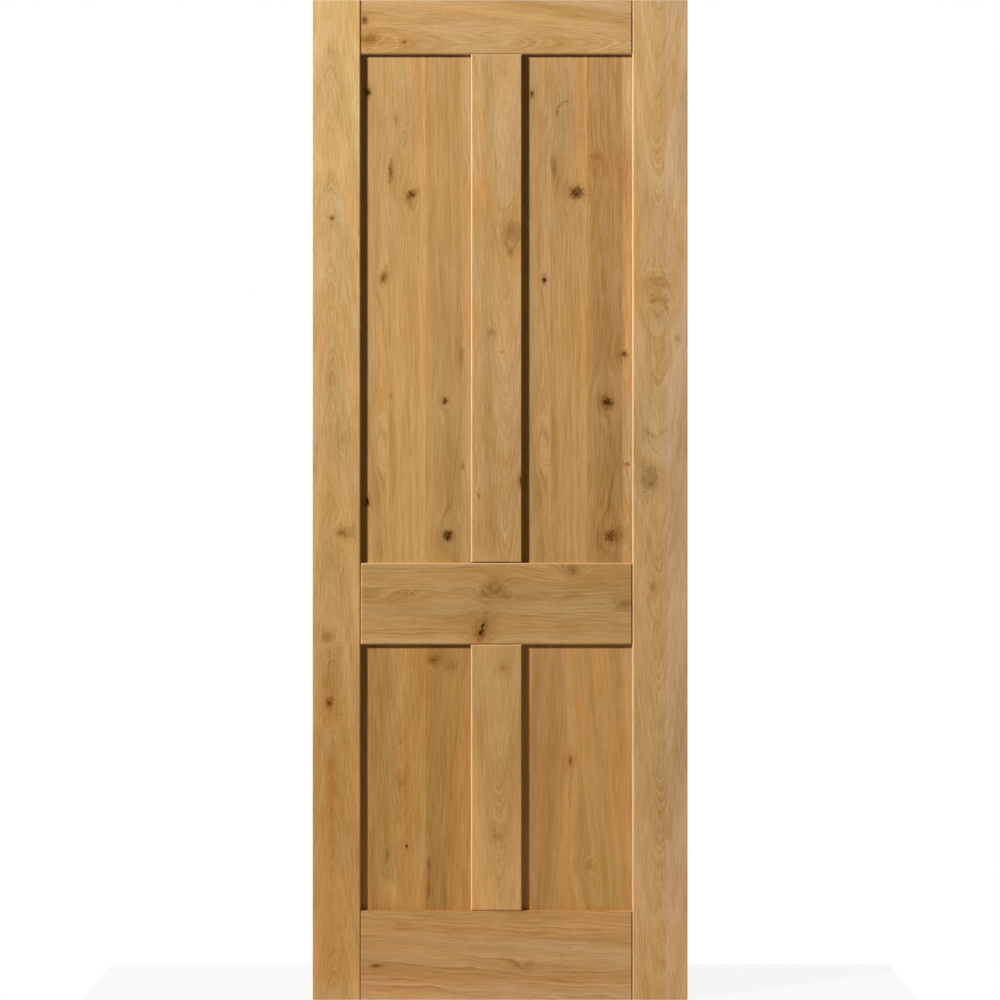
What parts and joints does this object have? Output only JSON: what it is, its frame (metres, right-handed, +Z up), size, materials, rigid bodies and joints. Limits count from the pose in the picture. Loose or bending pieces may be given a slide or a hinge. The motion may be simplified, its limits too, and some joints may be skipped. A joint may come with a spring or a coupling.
{
  "type": "four-panel interior door leaf",
  "caption": "Oak interior door leaf: stiles, rails and muntins with V joints round tall upper and short lower flat panels, undrilled and ready to be hung.",
  "frame": {"origin": "middle of the leaf's bottom edge, halfway through its thickness", "axes": "+Z up the leaf, +X to the right of the shown face, +Y out of the other face, so the shown face looks along -Y"},
  "size_m": [0.762, 0.035, 2.032],
  "materials": {
    "oak_frame": "satin clear coat on oak",
    "oak_panel": "satin clear coat on oak",
    "beech_dowel": "bare beech"
  },
  "bodies": {
    "root": {"left_stile": "oak_frame", "right_stile": "oak_frame", "top_rail": "oak_frame", "mid_rail": "oak_frame", "bottom_rail": "oak_frame", "upper_muntin": "oak_frame", "lower_muntin": "oak_frame", "upper_left_panel": "oak_panel", "upper_right_panel": "oak_panel", "lower_left_panel": "oak_panel", "lower_right_panel": "oak_panel", "top_rail_left_dowels": "beech_dowel", "top_rail_right_dowels": "beech_dowel", "mid_rail_left_dowels": "beech_dowel", "mid_rail_right_dowels": "beech_dowel", "bottom_rail_left_dowels": "beech_dowel", "bottom_rail_right_dowels": "beech_dowel", "upper_muntin_bottom_dowels": "beech_dowel", "upper_muntin_top_dowels": "beech_dowel", "lower_muntin_bottom_dowels": "beech_dowel", "lower_muntin_top_dowels": "beech_dowel"}
  },
  "joints": []
}
